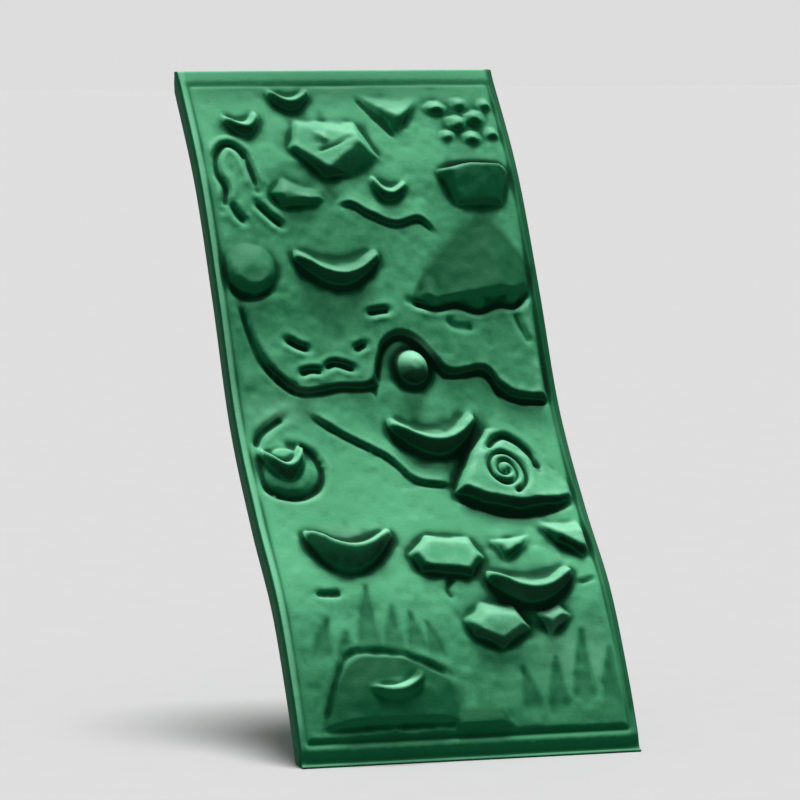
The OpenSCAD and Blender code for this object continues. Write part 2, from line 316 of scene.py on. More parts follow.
def boulder(r, x0, s0, rx, rs, reach, top, foot, tone=0.0, sides=14):
    """A round rock that swells gently from its top and ends in an undercut foot."""
    ring = []
    for k in range(sides):
        turn = math.tau * (k + 0.5) / sides
        low = 0.5 + 0.5 * math.sin(math.tau * (k + 1) / sides)
        ring.append((x0 + rx * math.cos(turn), s0 + rs * math.sin(turn), top + (foot - top) * low ** 1.5))
    r.stone(ring, reach, soft=13.0, tone=tone)


def pebble(r, k, x, s, radius):
    """A small six-sided stone, turned and stretched a little differently for each k."""
    ring = []
    for j in range(6):
        turn = 0.7 * k + j * math.tau / 6
        ring.append((x + radius * (1 + 0.16 * math.sin(3 * k + j)) * math.cos(turn),
                     s + radius * 0.86 * math.sin(turn), 0.6 + 1.4 * max(0, math.sin(turn + math.tau / 12))))
    r.stone(ring, 15 + 0.35 * radius)


def upper_band(r):
    """From the deck edge down to the first long hold."""
    r.scoop(-138, 70, 52, 44, 36, 16, 27)
    r.scoop(-272, 148, 44, 46, 38, 18, 27, turn=-8)
    r.stone([(40, 84, 0.34), (192, 94, 1.8), (112, 212, 1.05)], 38)
    r.groove([(30, 92), (68, 160), (106, 220)], 7, 4)
    for k, place in enumerate([(228, 122, 33), (268, 174, 35), (324, 158, 34), (356, 116, 26),
                               (238, 214, 25), (304, 220, 30), (354, 210, 27), (290, 112, 26)]):
        pebble(r, k, *place)
    # faceted rock, low at its left and tall at its lower right corner
    r.stone([(-140, 160, 0.5), (12, 166, 0.9), (64, 304, 1.4), (50, 334, 2.3), (-96, 342, 1.6),
             (-170, 248, 1.0)], 44, cuts=[(-168, 246, 13, 0.15, 0.07), (-36, 292, 32, -0.34, -0.55)])
    r.stone([(-130, 182, 0.6), (-36, 168, 0.5), (-8, 232, 2.2), (-92, 272, 2.4)], 41, soft=2.0)
    r.groove([(-104, 276), (-60, 262), (-10, 240)], 6, 4)
    r.stone([(186, 322, 1.6), (246, 304, 2.2), (364, 308, 1.3), (378, 334, 1.0), (344, 424, 1.5),
             (222, 424, 1.3)], 46, cuts=[(280, 318, 43, 0.02, -0.29), (200, 350, 27, 0.5, 0.1)], tone=0.5)
    # a worm-like fossil
    r.groove([(-356, 424), (-342, 366), (-356, 318), (-350, 268), (-320, 236), (-288, 260), (-272, 318),
              (-264, 372)], 9, 7, lips=0.5)
    r.groove([(-334, 404), (-326, 430), (-308, 458)], 9, 6, lips=0.4)
    r.groove([(-272, 408), (-250, 436), (-218, 470)], 9, 7, lips=0.4)
    r.stone([(-236, 374, 0.8), (-198, 330, 0.5), (-112, 372, 0.8), (-100, 402, 2.0), (-140, 416, 2.2),
             (-212, 420, 1.8)], 31, cuts=[(-170, 352, 31, 0.0, -0.16)], tone=0.45)
    r.scoop(64, 350, 44, 46, 36, 17, 30, turn=10)


def middle_band(r):
    """The steep part: a round boulder, the first long hold, the mountain and the long ledge under them."""
    r.step_line([(-80, 412), (-40, 410), (5, 440), (62, 466), (125, 452), (172, 496)], [(0, 10)], 45, 7)
    r.step_line([(-345, 690), (-322, 790), (-282, 852), (-230, 897), (-135, 887), (-62, 884), (-40, 830),
                 (-18, 780), (25, 755), (70, 772), (110, 822), (145, 858), (225, 852), (262, 900),
                 (305, 928), (392, 934)], [(-345, 9), (-120, 11), (0, 17), (140, 16), (392, 24)], 230)
    r.groove([(-350, 668), (-345, 700), (-338, 742), (-318, 800), (-284, 862), (-232, 905)], 8, 6)
    boulder(r, -312, 574, 68, 78, 30, 0.45, 2.4, tone=0.6)
    r.groove([(-376, 610), (-350, 648), (-312, 662), (-268, 640)], 9, 4)
    r.scoop(-98, 550, 106, 66, 64, 24, 48, tone=0.45)
    # the mountain, which stands further out towards its jagged foot of three toes
    r.stone([(286, 440, 0.3), (340, 500, 0.35), (388, 602, 0.9), (376, 642, 1.7), (330, 674, 1.7),
             (262, 684, 1.7), (150, 682, 1.7), (70, 668, 1.4), (88, 634, 0.24), (180, 512, 0.24)], 42,
            cuts=[(280, 520, 38, -0.04, 0.02)], rough=1.6, seed=5, soft=8.0, tone=0.95)
    for x, s, half in ((128, 692, 44), (232, 702, 46), (322, 688, 40)):
        tooth = ((-0.4, -92, 0.4), (0.4, -92, 0.5), (1, -34, 1.3), (0.3, 0, 1.9), (-0.2, 0, 1.5),
                 (-1, -30, 0.8))
        corners = [(x + across * half, s + down, steep) for across, down, steep in tooth]
        r.stone(corners, 41, soft=6.0, tone=0.95)
    r.groove([(62, 678), (124, 698), (180, 692), (232, 708), (284, 694), (330, 694), (380, 650)], 9, 9)
    r.groove([(322, 712), (332, 750), (350, 796)], 9, 5)
    r.groove([(150, 724), (170, 746), (214, 752)], 10, 4)
    for marks in ([(-248, 768), (-226, 784), (-200, 796)], [(-228, 858), (-200, 852), (-176, 856)],
                  [(-166, 846), (-146, 836), (-128, 838), (-96, 852)], [(-84, 800), (-60, 786)],
                  [(-40, 706), (10, 702)]):
        r.groove(marks, 9, 9, lips=0.25)
    # the knob in its alcove under the arch
    r.h -= 12 * bell(np.hypot(r.x - 52, (r.s - 850) / 1.15), 60)
    boulder(r, 50, 846, 42, 48, 44, 1.3, 2.6)


def lower_band(r):
    """The shallow part: two long holds, the ringed fossil and the shelf with a coiled one."""
    r.step_line([(-228, 945), (-150, 1010), (-50, 1080), (12, 1155), (95, 1168)], [(0, 9)], 60, 7)
    r.scoop(72, 990, 108, 78, 70, 30, 49, turn=-3, lean=-0.08, tone=0.2)
    ring = np.linspace(math.radians(-80), math.radians(205), 12)
    r.groove([(-296 + 78 * math.cos(t), 1116 + 80 * math.sin(t)) for t in ring], 10, 8)
    r.dome(-300, 1116, 60, 64, 13)
    r.scoop(-306, 1058, 52, 66, 44, 38, 42, turn=-4, lean=-0.2)
    r.groove([(-370, 1044), (-340, 1006), (-318, 988), (-284, 966)], 10, 8)
    # the shelf, its coil and the arch over that
    r.stone([(205, 1014, 0.9), (250, 1020, 0.9), (304, 1090, 0.30), (388, 1184, 0.8), (390, 1208, 2.6),
             (330, 1243, 2.6), (236, 1258, 2.6), (150, 1236, 2.6), (86, 1200, 1.6), (98, 1162, 1.3),
             (142, 1082, 1.3)], 34, rough=1.0, seed=9)
    r.groove([(84, 1212), (150, 1248), (236, 1270), (330, 1255), (386, 1224)], 9, 4)
    r.groove([(218 + (9 + 3.3 * t) * math.cos(t + 0.6), 1150 + (11 + 4.4 * t) * math.sin(t + 0.6))
              for t in np.linspace(0, 4.2 * math.pi, 80)], 7.5, 11, smooth=False)
    r.groove([(186, 1086), (214, 1052), (244, 1038), (278, 1062), (300, 1102), (304, 1146)], 10, 10)
    r.scoop(-196, 1308, 104, 66, 50, 52, 47, turn=1, lean=-0.18, pocket=0)
    # flat stones and cracks round the last long hold
    r.stone([(-12, 1316, 0.6), (92, 1326, 0.9), (118, 1392, 1.9), (72, 1450, 2.3), (18, 1444, 2.2),
             (-44, 1432, 2.0), (-68, 1378, 1.1)], 24, rough=1.2, seed=11)
    r.stone([(140, 1340, 0.7), (240, 1330, 1.4), (216, 1370, 2.0), (164, 1406, 1.8)], 18)
    r.stone([(264, 1290, 0.5), (396, 1294, 0.8), (386, 1380, 1.9), (352, 1402, 2.2), (298, 1358, 2.2)], 26)
    r.scoop(208, 1450, 104, 56, 58, 30, 48, turn=-1, lean=-0.08, tone=0.2)
    r.stone([(28, 1562, 0.7), (74, 1518, 0.6), (152, 1524, 1.2), (186, 1592, 2.0), (110, 1642, 2.3),
             (46, 1608, 2.0)], 27, rough=1.0, seed=13)
    r.stone([(204, 1552, 0.8), (262, 1532, 1.0), (288, 1564, 2.0), (228, 1612, 2.2)], 25)
    r.groove([(24, 1452), (8, 1480), (16, 1506)], 8, 4)
    r.groove([(326, 1476), (352, 1470), (376, 1464)], 7, 4)
    r.groove([(-304, 1478), (-274, 1480), (-244, 1478)], 10, 7, lips=0)


def grass(r, foot_x, tip_x, foot, tip, half):
    """A pointed blade sunk into the face, from its foot up to its tip."""
    spine = [(foot_x, foot), (0.7 * foot_x + 0.3 * tip_x, 0.5 * (foot + tip)), (tip_x, tip)]
    dist, along = r.line_distance(catmull_rom(spine, 5))
    width = half * (1 - along) ** 0.8 + 4
    blade = ease((width - dist) / 14 + 0.5) * ease(along / 0.35)
    r.h -= 2.8 * blade
    # painted shade along the sunk blade
    r.tone += 0.55 * blade


def toe_band(r):
    """Grass, and a flat rock with a low hold on it."""
    for blade in ((-318, -290, 1664, 1548, 27), (-262, -252, 1656, 1586, 20), (-204, -184, 1670, 1462, 30),
                  (-146, -134, 1656, 1524, 24), (-90, -94, 1656, 1540, 23), (-44, -58, 1668, 1566, 21),
                  (162, 150, 1812, 1690, 25), (222, 232, 1824, 1668, 27), (286, 306, 1812, 1604, 29),
                  (350, 366, 1818, 1650, 25)):
        grass(r, *blade)
    r.stone([(-228, 1640, 0.30), (-126, 1652, 0.35), (-24, 1706, 0.35), (-6, 1814, 1.4), (-344, 1816, 0.35),
             (-272, 1672, 0.30)], 20, cuts=[(-150, 1700, 17, -0.02, 0.03)], rough=1.5, seed=17, tone=1.0)
    r.groove([(-334, 1806), (-278, 1664), (-228, 1632), (-126, 1644), (-20, 1698)], 8, 4)
    r.stone([(-30, 1776, 0.3), (88, 1780, 0.5), (108, 1828, 1.2), (-30, 1830, 1.2)], 10, tone=0.9)
    r.scoop(-158, 1706, 72, 30, 38, 40, 36, turn=-12)


# The plain frame round the carving, in mm across or down the face
RAIL = 380.0              # the grooves beside the two long rims
TOP_LINE = 44.0           # and the ones under the head
TOE_LINE = 1846.0         # and above the toe
CARVED = (50, 1836)


def painted_shade_and_highlights(r):
    """Patches of painted shade and painted highlight, and the two long rims: the one at +x painted darker,
    the one at -x painted lighter.
    """
    # positive amounts are painted shade, such as under the deck edge and at the toe; negative ones are
    # painted highlights, strongest on the knob and the low hold on the flat rock
    for patch in ((0, 60, 520, 66, 0.6), (330, 1150, 70, 50, 0.25), (30, 1370, 70, 50, 0.15),
                  (-170, 1670, 90, 26, 0.45), (-290, 950, 90, 52, -0.3), (290, 1670, 110, 90, -0.3),
                  (-190, 1316, 78, 40, -0.55), (50, 818, 40, 34, -1.6), (112, 1560, 60, 50, -0.2),
                  (-60, 230, 60, 50, -0.2), (-152, 1722, 56, 17, -1.7), (300, 165, 90, 60, 0.3),
                  (-320, 1760, 110, 110, 0.3), (260, 1810, 160, 40, 0.25)):
        r.painted_light_patch(*patch)
    # the long rims: painted shade on the one at +x, painted highlight on the one at -x
    r.tone += np.where(r.x > 0, 0.9, -0.4) * ease((np.abs(r.x) - RAIL) / 8) * ease((1840 - r.s) / 60)


def face_relief(x, s):
    """The finished heights: carving, stone texture, and the plain frame round it."""
    r = Relief(x, s)
    for carve in (middle_band, upper_band, lower_band, toe_band, painted_shade_and_highlights):
        carve(r)
    for amount, cell, seed in ((2.4, 130, 1), (1.7, 52, 2), (0.9, 21, 3)):
        r.h += amount * soft_noise(r.x, r.s, cell, seed)
    r.h *= within(r.x, 26 - HALF_W, HALF_W - 26, 14) * within(r.s, *CARVED, 14)
    beside = 4.5 * bell(np.abs(r.x) - RAIL, 6) * within(r.s, TOP_LINE - 8, TOE_LINE + 6, 10)
    ends = np.maximum(4.0 * bell(r.s - TOP_LINE, 8), 6.0 * bell(r.s - TOE_LINE, 8))
    r.h -= np.maximum(beside, ends * within(r.x, -RAIL - 4, RAIL + 4, 6))
    r.h -= 9 * ease((r.s - TOE_LINE - 10) / (profile.length - TOE_LINE - 10)) ** 0.8
    r.h *= ease((r.s - 2) / 10) * ease((profile.length - 4 - r.s) / 12)
    return r


# ---------------------------------------------------------------- mesh tools


def turns(n):
    """The angles of n even steps round a circle."""
    return math.tau * np.arange(n) / n


def circle(x, y, r, n=40):
    return [(x + r * math.cos(t), y + r * math.sin(t)) for t in turns(n)]


def rectangle(x0, x1, y0, y1):
    return [(x0, y0), (x1, y0), (x1, y1), (x0, y1)]


def divide(a, b, pitch=24):
    """Points from a towards b, about a pitch apart, without b itself."""
    n = max(1, int(math.dist(a, b) / pitch))
    return [(a[0] + (b[0] - a[0]) * k / n, a[1] + (b[1] - a[1]) * k / n) for k in range(n)]


def link(name, data):
    obj = bpy.data.objects.new(name, data)
    bpy.context.scene.collection.objects.link(obj)
    return obj


class Layout:
    """Points in a plane, with the edges that its triangles have to keep."""

    def __init__(self):
        self.points, self.known, self.edges = [], [], []

    def put(self, x, y, vertex=-1):
        """Add a point, which may stand for a vertex that the mesh has already."""
        self.points.append(Vector((x, y)))
        self.known.append(vertex)
        return len(self.points) - 1

    def loop(self, points):
        ids = [self.put(*p) for p in points]
        self.edges += zip(ids, ids[1:] + ids[:1])
        return ids

    def fill(self):
        """Its points, its triangles, and which of the points put in each point stands for."""
        points, _, tris, origin, _, _ = delaunay_2d_cdt(self.points, self.edges, [], 0, 1e-4, True)
        return np.array([tuple(p) for p in points]), np.array(tris), origin


class Parts:
    """Collects the points and faces of one mesh."""

    def __init__(self):
        self.points, self.faces, self.count = [], [], 0

    def add(self, points):
        """Add points and return their numbers."""
        self.points.append(np.asarray(points, float).reshape(-1, 3))
        self.count += len(self.points[-1])
        return np.arange(self.count - len(self.points[-1]), self.count)

    def quads(self, ids, flipped=False):
        a, b, c, d = ids[:-1, :-1], ids[:-1, 1:], ids[1:, 1:], ids[1:, :-1]
        order = (a, b, c, d) if flipped else (a, d, c, b)
        self.faces += np.stack([o.ravel() for o in order], axis=1).tolist()


# ---------------------------------------------------------------- the panel's mesh

BRACKET_S = 70.0          # the bracket's seat is square to the face here
SADDLE_S = 860.0          # and the legs' saddles here
SEAT_IN = 1.5             # how deep the seats are let into the back
SEAT_EDGE = 3.0           # free edge round a plate in its seat
BRACKET_SCREW_RUN = 78.0  # along the seat, from the bend to the screws
BRACKET_REACH = 112.0     # and to the plate's end
BRACKET_W = 640.0
SCREW_X = (-270, -90, 90, 270)
LEG_X = (-125, 125)
SADDLE_HALF = (65, 90)
SADDLE_SCREW = (48, 72)
INSERT_R, INSERT_L = 8.0, 18.0
BOTH = (-1, 1)            # the two sides of anything


class Spot:
    """A point straight in from a place on the face, with the directions out of the face and down it."""

    def __init__(self, s, depth):
        self.normal = profile.at(profile.face_normal, s)
        self.along = np.array([self.normal[1], -self.normal[0]])
        self.point = profile.at(profile.face, s) - depth * self.normal


class Seat(Spot):
    """A flat let into the back, square to the face at one place, that steel plates lie in."""

    def __init__(self, s):
        super().__init__(s, PANEL_T - SEAT_IN)
        self.boxes = []

    def cut(self, x, half, s0, s1):
        """Let it in over a box, given by its middle and half width across and its ends down the face."""
        self.boxes.append((x - half - SEAT_EDGE, x + half + SEAT_EDGE, s0, s1))

    def press(self, points, x, s):
        """Move the points that lie in one of its boxes onto its plane."""
        for x0, x1, s0, s1 in self.boxes:
            hit = (x >= x0) & (x <= x1) & (s >= s0) & (s <= s1)
            points[hit] += ((self.point - points[hit]) @ self.normal)[:, None] * self.normal


bracket_seat, saddle_seat = Seat(BRACKET_S), Seat(SADDLE_S)
BEND_S = BRACKET_S - bracket_seat.point[0] / bracket_seat.along[0]
bracket_seat.cut(0, BRACKET_W / 2, 24, BEND_S + BRACKET_REACH + SEAT_EDGE)
for leg_x in LEG_X:
    end_run = SADDLE_HALF[1] + SEAT_EDGE
    saddle_seat.cut(leg_x, SADDLE_HALF[0], SADDLE_S - end_run, SADDLE_S + end_run)
SEAT_BOXES = bracket_seat.boxes + saddle_seat.boxes


class Pocket(Spot):
    """A cone or a blind hole in the back, from its rim to its floor."""

    def __init__(self, x, s, radius, tip, depth):
        super().__init__(s, PANEL_T)
        self.x, self.s, self.radius = x, s, radius
        cone = tip < radius
        self.sides = 40 if cone else 24
        # the rings that the back's mesh keeps round it
        self.rims = (radius + 3.0, radius + 5.0) if cone else (radius + 0.8, radius + 2.0)
        # and its own rings from rim to floor, each (radius, depth), with a cone's edges softened
        self.rings = [(radius, 0.8), (radius, 3.0), (tip, depth - 2.5), (tip, depth), (0.6 * tip, depth)]
        if cone:
            self.rings = [(radius + 0.8, 0.8), (radius - 1.0, 3.0), (tip + 2.2, depth - 2.5),
                          (tip, depth - 0.4), (0.6 * tip, depth + 0.3)]


# The vent, and with it the cones that stiffen the panel, the pockets of the inserts and the drains
VENT = Pocket(150, 1200, 12, 12, 13)
POCKETS = [Pocket(x, 330 + 220 * k, 30, 11, 45) for x in (-290, 0, 290) for k in range(7)]
POCKETS += [Pocket(x, BEND_S + BRACKET_SCREW_RUN, INSERT_R, INSERT_R, INSERT_L) for x in SCREW_X]
POCKETS += [Pocket(x + i * SADDLE_SCREW[0], SADDLE_S + j * SADDLE_SCREW[1], INSERT_R, INSERT_R, INSERT_L)
            for x in LEG_X for i in BOTH for j in BOTH]
POCKETS += [VENT] + [Pocket(x, 1800, 5, 5, 13) for x in (-300, 300)]


def panel_columns():
    rounded = HALF_W - EDGE_R + EDGE_R * np.sin(np.radians(np.linspace(0, 90, 5)))
    inner = np.linspace(-HALF_W + EDGE_R, HALF_W - EDGE_R, int((PANEL_W - 2 * EDGE_R) / CELL) + 1)
    return np.concatenate([-rounded[:0:-1], inner, rounded[1:]])


def panel_rows():
    end = profile.length
    body = np.linspace(12, end - 12, int((end - 24) / CELL))
    head = [np.arange(*span) for span in ((-LIP, -22, 2.0), (-22, -10, 4.0), (-10, 12, 2.0))]
    return np.concatenate([*head, body, np.arange(end - 10, end - 1, 2.0), [end]])


def edge_drop(x, s):
    """How far the rounding of the long edges pulls the surface in; it is tighter at the corners."""
    near_corner = sum(bell(s - corner, 13) for corner in (-LIP, 0, profile.length))
    r = EDGE_R * (1 - 0.65 * np.minimum(near_corner, 1))
    over = np.clip(np.abs(x) - (HALF_W - r), 0, r)
    return r - np.sqrt(r ** 2 - over ** 2)


def blur(field, cells):
    reach = int(3 * cells)
    field = np.pad(field, reach, mode="edge")
    for axis in (1, 0):
        field = np.apply_along_axis(gaussian, axis, field, cells, reach)
    return field


SKY = (0.0, 0.20, 0.98)   # the direction the painted light comes from: faces turned to it are painted paler, faces turned away painted darker
SKY_BEHIND = 0.22         # the back is never painted darker than this, whichever way it faces
SIDE_SHADE = 0.20         # the sides are painted in deeper shade, by this much less painted light
# and by this much painted shade on the sides
SIDE_TONE = 0.85
STRIP = 5                 # columns in the strip along each long edge of the back
GRID = 22                 # spacing of the plain points on the back


class PanelMesh(Parts):
    """The panel's closed skin: the carved face, the back with its seats and pockets, and the two sides."""

    def __init__(self):
        super().__init__()
        self.x, self.s = panel_columns(), panel_rows()
        self.build_face()
        left, right = (self.build_strip(cols) for cols in (slice(STRIP), slice(-STRIP, None)))
        self.build_back(left[:, -1], right[:, 0])
        self.build_side(self.face_ids[:, 0], left[:, 0], flipped=True)
        self.build_side(self.face_ids[:, -1], right[:, -1])

    def build_face(self):
        """The carved grid, its painted shade, and how deep in a crease or under a form each of its points
        lies, for the painted shade there.
        """
        relief = face_relief(self.x, self.s)
        self.tone = relief.tone
        heights = blur(relief.h, 0.6) - edge_drop(relief.x, relief.s)
        place = (profile.at(profile.face, relief.s)
                 + profile.at(profile.face_normal, relief.s) * heights[..., None])
        place[..., 1] = np.maximum(place[..., 1], 0)
        self.face_ids = self.add(world(relief.x, place[..., 0], place[..., 1])).reshape(relief.x.shape)
        self.quads(self.face_ids)
        self.crevice = np.clip((blur(heights, 3.4) - heights) / 6, -1.5, 1.5)
        self.shade = np.clip((blur(heights, 9) - heights) / 16, -1.5, 1.5)

    def add_rear(self, x, s):
        """Add points of the back, and return their numbers."""
        point = profile.at(profile.rear, s) - profile.at(profile.rear_normal, s) * edge_drop(x, s)[:, None]
        for seat in (bracket_seat, saddle_seat):
            seat.press(point, x, s)
        return self.add(world(x, point[:, 0], point[:, 1]))

    def build_strip(self, cols):
        """A strip of the back along one long edge, which starts and ends on the face's own edges."""
        x, s = np.meshgrid(self.x[cols], self.s[1:-1])
        ids = np.vstack([self.face_ids[:1, cols], self.add_rear(x.ravel(), s.ravel()).reshape(x.shape),
                         self.face_ids[-1:, cols]])
        self.quads(ids, flipped=True)
        return ids

    def back_layout(self, left, right):
        """The back between the strips, laid flat: its outline, the seats, the pockets and plain points."""
        flat = Layout()
        x_low, x_high = self.x[STRIP - 1], self.x[-STRIP]
        inner = range(STRIP, len(self.x) - STRIP)
        flat.loop([(x_low, s, v) for s, v in zip(self.s, left)]
                  + [(self.x[j], self.s[-1], self.face_ids[-1, j]) for j in inner]
                  + [(x_high, s, v) for s, v in zip(self.s[::-1], right[::-1])]
                  + [(self.x[j], self.s[0], self.face_ids[0, j]) for j in reversed(inner)])
        for x0, x1, s0, s1 in SEAT_BOXES:
            for grow in (0.0, 1.6):
                corners = rectangle(x0 - grow, x1 + grow, s0 - grow, s1 + grow)
                flat.loop([p for a, b in zip(corners, corners[1:] + corners[:1]) for p in divide(a, b)])
        rims = [[flat.loop(circle(p.x, p.s, radius, p.sides)) for radius in p.rims][0] for p in POCKETS]
        for x in np.arange(x_low + 18, x_high - 10, GRID):
            for s in np.arange(-LIP + 12, profile.length - 8, GRID):
                if (all(math.hypot(x - p.x, s - p.s) > p.radius + 9 for p in POCKETS)
                        and not any(near_edge(x, s, box) for box in SEAT_BOXES)):
                    flat.put(x, s)
        return flat, rims

    def build_back(self, left, right):
        """The back between two lines of points, with the pockets cut into it."""
        flat, rims = self.back_layout(left, right)
        points, tris, origin = flat.fill()
        ids = np.array([max([flat.known[k] for k in came], default=-1) for came in origin])
        fresh = np.flatnonzero(ids < 0)
        ids[fresh] = self.add_rear(*points[fresh].T)
        middles = points[tris].mean(axis=1)
        for pocket in POCKETS:
            # the flat sides of a many-sided rim lie a little inside its circle
            clear = pocket.rims[0] * math.cos(math.pi / pocket.sides) - 0.01
            outside = np.hypot(*(middles - (pocket.x, pocket.s)).T) >= clear
            tris, middles = tris[outside], middles[outside]
        self.faces += ids[tris].tolist()
        vertex_of = {k: ids[i] for i, came in enumerate(origin) for k in came}
        for pocket, rim in zip(POCKETS, rims):
            self.build_pocket(pocket, np.array([vertex_of[k] for k in rim]))

    def build_pocket(self, pocket, rim):
        """The wall and the floor of a pocket, from its rim in towards the face."""
        turn = turns(pocket.sides)
        ids = [rim]
        for r, deep in pocket.rings:
            place = pocket.point + r * np.sin(turn)[:, None] * pocket.along + deep * pocket.normal
            ids.append(self.add(world(pocket.x + r * np.cos(turn), place[:, 0], place[:, 1])))
        ids = np.array(ids)
        self.quads(np.hstack([ids, ids[:, :1]]), flipped=True)
        self.faces.append(ids[-1].tolist())

    def build_side(self, front, rear, flipped=False):
        """A ladder between the rounded edges of the face and of the back."""
        table = np.vstack(self.points)
        columns = [front]
        for t in (1 / 3, 2 / 3):
            ids = self.add(table[front[1:-1]] * (1 - t) + table[rear[1:-1]] * t)
            columns.append(np.concatenate([front[:1], ids, front[-1:]]))
        self.quads(np.stack(columns + [rear], axis=1), flipped)

    def to_piece(self, name, node):
        """Make it the piece for a CAD node, with what its material has to know at each point."""
        points = np.vstack(self.points)
        faces = [tidy for tidy in (list(dict.fromkeys(f)) for f in self.faces) if len(tidy) > 2]
        mesh = bpy.data.meshes.new(name)
        mesh.from_pydata(points.tolist(), [], faces)
        mesh.validate()
        mesh.shade_smooth()
        normals = np.zeros(len(points) * 3, np.float32)
        mesh.vertices.foreach_get("normal", normals)
        normals = normals.reshape(-1, 3)
        on_face = np.zeros(len(points), bool)
        on_face[self.face_ids] = True
        on_side = (np.abs(normals[:, 0]) > 0.7) & (np.abs(points[:, 0]) > (HALF_W - 0.5 * EDGE_R) * MM)
        # painted light from the way each point faces, painted deeper on the sides and never below SKY_BEHIND
        # on the back
        facing_light = normals @ np.array(SKY) - SIDE_SHADE * on_side
        known = {"facing_light": np.where(on_face | on_side, facing_light, np.maximum(facing_light, SKY_BEHIND))}
        for label in ("crevice", "shade", "tone"):
            known[label] = np.zeros(len(points))
            known[label][self.face_ids] = getattr(self, label)
        # painted shade on the sides
        known["tone"][on_side] = SIDE_TONE
        for label, values in known.items():
            attribute = mesh.attributes.new(label, "FLOAT", "POINT")
            attribute.data.foreach_set("value", values.astype(np.float32))
        piece(name, mesh, node)


def near_edge(x, s, box, gap=6):
    """Whether a point lies close to the outline of a box, inside it or outside."""
    x0, x1, s0, s1 = box
    within_by = min(x - x0, x1 - x, s - s0, s1 - s)
    return -gap < within_by <= gap


# ---------------------------------------------------------------- materials


class Nodes:
    """A short hand for building the nodes of a material, or of the world."""

    def __init__(self, owner, coords="Object"):
        owner.use_nodes = True
        self.owner, self.tree = owner, owner.node_tree
        self.coords = self.add("TexCoord", coords)

    def add(self, kind, output, inputs=(), **settings):
        """Add a node and return one of its outputs."""
        node = self.tree.nodes.new("ShaderNode" + kind)
        for key, value in settings.items():
            setattr(node, key, value)
        self.feed(node, dict(inputs))
        return node.outputs[output]

    def feed(self, node, inputs):
        """Set a node's inputs, each to a constant or to what another node gives."""
        for key, value in inputs.items():
            socket = node.inputs[key]
            if isinstance(value, bpy.types.NodeSocket):
                self.tree.links.new(value, socket)
            else:
                socket.default_value = (*value, 1) if socket.type == "RGBA" else value

    def noise(self, scale, detail, roughness, stretch=None):
        coords = self.coords
        if stretch:
            coords = self.add("Mapping", "Vector", {"Scale": stretch, "Vector": coords})
        inputs = {"Scale": scale, "Detail": detail, "Roughness": roughness, "Vector": coords}
        return self.add("TexNoise", "Fac", inputs)

    def ramp(self, value, low, high, a=0.0, b=1.0):
        """From a to b while the value runs from low to high."""
        inputs = {"From Min": low, "From Max": high, "To Min": a, "To Max": b, "Value": value}
        return self.add("MapRange", "Result", inputs)

    def math(self, operation, a, b):
        return self.add("Math", 0, {0: a, 1: b}, operation=operation)

    def mix(self, fac, a, b):
        return self.add("Mix", 2, {0: fac, 6: a, 7: b}, data_type="RGBA")

    def height(self):
        return self.add("SeparateXYZ", "Z", {0: self.coords})

    def attribute(self, name):
        return self.add("Attribute", "Fac", attribute_name=name)

    def bump(self, height, distance, strength, **normal):
        inputs = {"Strength": strength, "Distance": distance, "Height": height}
        return self.add("Bump", "Normal", inputs | normal)

    def finish(self, color, roughness, metallic=0.0, specular=0.5, **normal):
        self.feed(self.tree.nodes["Principled BSDF"],
                  {"Base Color": color, "Roughness": roughness, "Metallic": metallic,
                   "Specular IOR Level": specular, **normal})
        return self.owner


def new_material(name):
    return Nodes(bpy.data.materials.new(name))


def srgb(r, g, b):
    lin = lambda c: c / 12.92 if c <= 0.04045 else ((c + 0.055) / 1.055) ** 2.4
    return (lin(r / 255), lin(g / 255), lin(b / 255))


